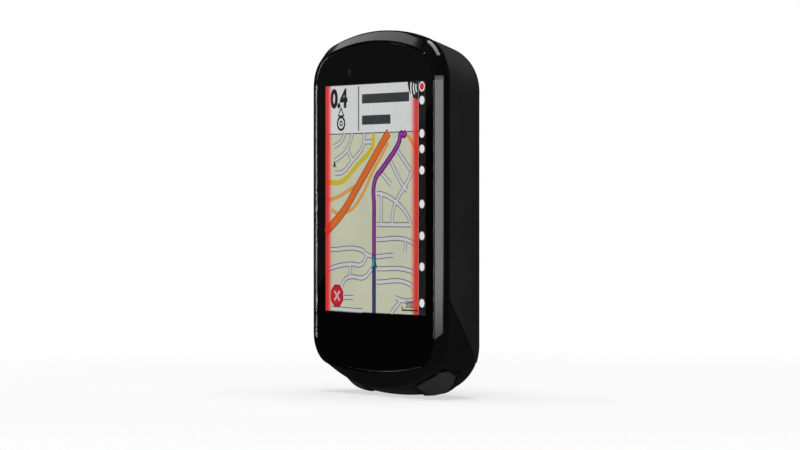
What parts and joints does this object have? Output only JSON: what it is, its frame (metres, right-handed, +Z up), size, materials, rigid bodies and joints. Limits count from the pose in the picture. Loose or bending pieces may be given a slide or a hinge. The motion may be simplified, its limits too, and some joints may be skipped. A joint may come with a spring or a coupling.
{
  "type": "cycling computer",
  "caption": "Upright touch-screen cycling computer with gloss bezel, soft-skinned case, push buttons, covered charging socket and a quarter-turn boss on its back.",
  "frame": {"origin": "centre of the quarter-turn boss's rear face", "axes": "+Z up the long side of the screen, -Y out of the screen, +X to the right of a person who looks at the screen; +Y is the boss's outward normal"},
  "size_m": [0.05, 0.02, 0.082],
  "materials": {
    "cover_glass": "polished, clear",
    "border_ink": "black screen-printed ink",
    "foam_adhesive": "matte foam tape",
    "sensor_glass": "clear",
    "amber_film": "polyimide film",
    "sensor_plastic": "smoked clear resin",
    "bezel_plastic": "piano black",
    "panel_glass": "glass and polariser",
    "light_guide": "white light guide",
    "stamped_steel": "nickel-plated sheet",
    "board_laminate": "green solder mask",
    "screw_steel": "black oxide",
    "chip_resin": "moulding resin",
    "inner_plastic": "natural nylon",
    "gold_foil": "plated foil",
    "battery_pouch": "laminate pouch",
    "lead_jacket": "flexible jacket",
    "membrane_film": "breathable film",
    "seal_rubber": "silicone",
    "shell_plastic": "satin black",
    "skin_rubber": "soft matte overmould",
    "boss_plastic": "glass-filled nylon",
    "socket_steel": "drawn steel",
    "cover_rubber": "matte rubber",
    "cap_rubber": "matte rubber over a hard core",
    "stem_steel": "turned stainless",
    "switch_body": "switch housing"
  },
  "bodies": {
    "case": {"front_glass": "cover_glass", "printed_border": "border_ink", "lens_gasket": "foam_adhesive", "touch_sensor": "sensor_glass", "touch_flex": "amber_film", "light_sensor": "sensor_plastic", "front_bezel": "bezel_plastic", "display_panel": "panel_glass", "backlight": "light_guide", "display_tray": "stamped_steel", "display_flex": "amber_film", "main_board": "board_laminate", "board_screws": "screw_steel", "processor_shield": "stamped_steel", "radio_shield": "stamped_steel", "board_chips": "chip_resin", "wireless_antenna": "chip_resin", "antenna_carrier": "inner_plastic", "gps_antenna": "gold_foil", "battery_cell": "battery_pouch", "battery_tape": "foam_adhesive", "battery_circuit": "board_laminate", "battery_lead": "lead_jacket", "battery_plug": "inner_plastic", "buzzer": "stamped_steel", "vent_membrane": "membrane_film", "case_seal": "seal_rubber", "rear_shell": "shell_plastic", "grip_skin": "skin_rubber", "case_screws": "screw_steel", "quarter_turn_boss": "boss_plastic", "mount_plate": "stamped_steel", "mount_screws": "screw_steel", "usb_socket": "socket_steel", "usb_tongue": "inner_plastic", "start_seal": "seal_rubber", "start_switch": "switch_body", "lap_seal": "seal_rubber", "lap_switch": "switch_body", "power_seal": "seal_rubber", "power_switch": "switch_body"},
    "start_button": {"start_cap": "cap_rubber", "start_stem": "stem_steel", "start_clip": "stamped_steel", "start_plunger": "inner_plastic"},
    "lap_button": {"lap_cap": "cap_rubber", "lap_stem": "stem_steel", "lap_clip": "stamped_steel", "lap_plunger": "inner_plastic"},
    "power_button": {"power_cap": "cap_rubber", "power_stem": "stem_steel", "power_clip": "stamped_steel", "power_plunger": "inner_plastic"},
    "cover": {"usb_cover": "cover_rubber"}
  },
  "joints": [
    {"name": "start_press", "type": "slide", "parent": "case", "child": "start_button", "axis": [-0.342, 0, 0.9397], "range_m": [0, 0.0005], "stiffness_N_per_m": 5000, "springref_m": -0.0001},
    {"name": "lap_press", "type": "slide", "parent": "case", "child": "lap_button", "axis": [0.342, 0, 0.9397], "range_m": [0, 0.0005], "stiffness_N_per_m": 5000, "springref_m": -0.0001},
    {"name": "power_press", "type": "slide", "parent": "case", "child": "power_button", "axis": [1, 0, 0], "range_m": [0, 0.0005], "stiffness_N_per_m": 5000, "springref_m": -0.0001},
    {"name": "cover_open", "type": "hinge", "parent": "case", "child": "cover", "pos_m": [0, -0.00475, -0.03532], "axis": [1, 0, 0], "range_deg": [0, 100], "stiffness_Nm_per_rad": 0.0005, "springref_deg": -11.46}
  ]
}
